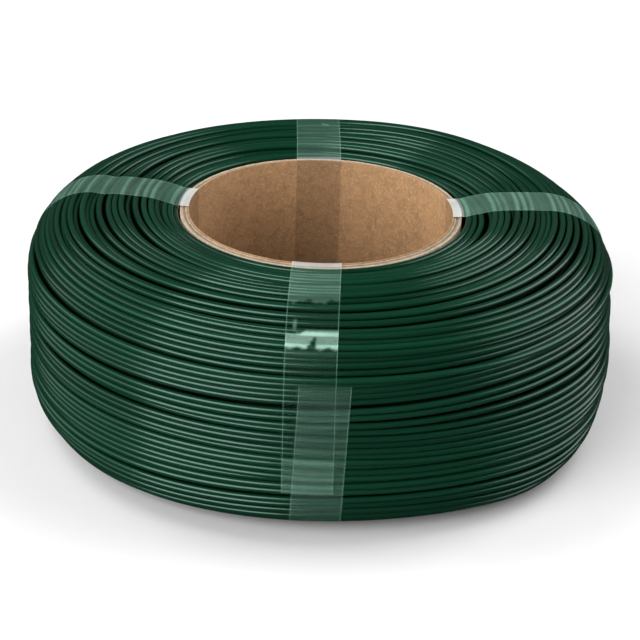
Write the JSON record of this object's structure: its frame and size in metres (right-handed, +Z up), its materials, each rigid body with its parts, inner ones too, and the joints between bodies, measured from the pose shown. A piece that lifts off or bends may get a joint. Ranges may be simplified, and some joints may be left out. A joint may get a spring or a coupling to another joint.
{
  "type": "filament refill coil",
  "caption": "Flangeless coil of thin plastic filament wound on a short cardboard tube and held by clear tape straps passed through the bore.",
  "frame": {"origin": "on the coil's axis, in the plane it stands on: the underside of the straps below the coil's crown", "axes": "+Z up along the core's bore; -Y towards the front strap; +X towards the right strap"},
  "size_m": [0.1706, 0.1706, 0.0626],
  "materials": {
    "kraft_liner": "smooth brown kraft paper with darker fibres",
    "grey_board": "matte grey-brown recycled board",
    "pale_wrap": "matte pale paper",
    "filament": "glossy dark green",
    "clear_tape": "clear glossy packing tape"
  },
  "bodies": {
    "root": {"core_liner_ply": "kraft_liner", "core_board_ply_1": "grey_board", "core_board_ply_2": "grey_board", "core_board_ply_3": "grey_board", "core_wrap_ply": "pale_wrap", "winding_layer_01": "filament", "winding_layer_02": "filament", "winding_layer_03": "filament", "winding_layer_04": "filament", "winding_layer_05": "filament", "winding_layer_06": "filament", "winding_layer_07": "filament", "winding_layer_08": "filament", "winding_layer_09": "filament", "winding_layer_10": "filament", "winding_layer_11": "filament", "winding_layer_12": "filament", "winding_layer_13": "filament", "winding_layer_14": "filament", "winding_layer_15": "filament", "winding_layer_16": "filament", "winding_layer_17": "filament", "winding_layer_18": "filament", "winding_layer_19": "filament", "winding_layer_20": "filament", "winding_layer_21": "filament", "winding_layer_22": "filament", "winding_layer_23": "filament", "winding_layer_24": "filament", "winding_layer_25": "filament", "winding_layer_26": "filament", "winding_layer_27": "filament", "winding_layer_28": "filament", "strap_front": "clear_tape", "strap_right": "clear_tape", "strap_back": "clear_tape", "strap_left": "clear_tape"}
  },
  "joints": []
}
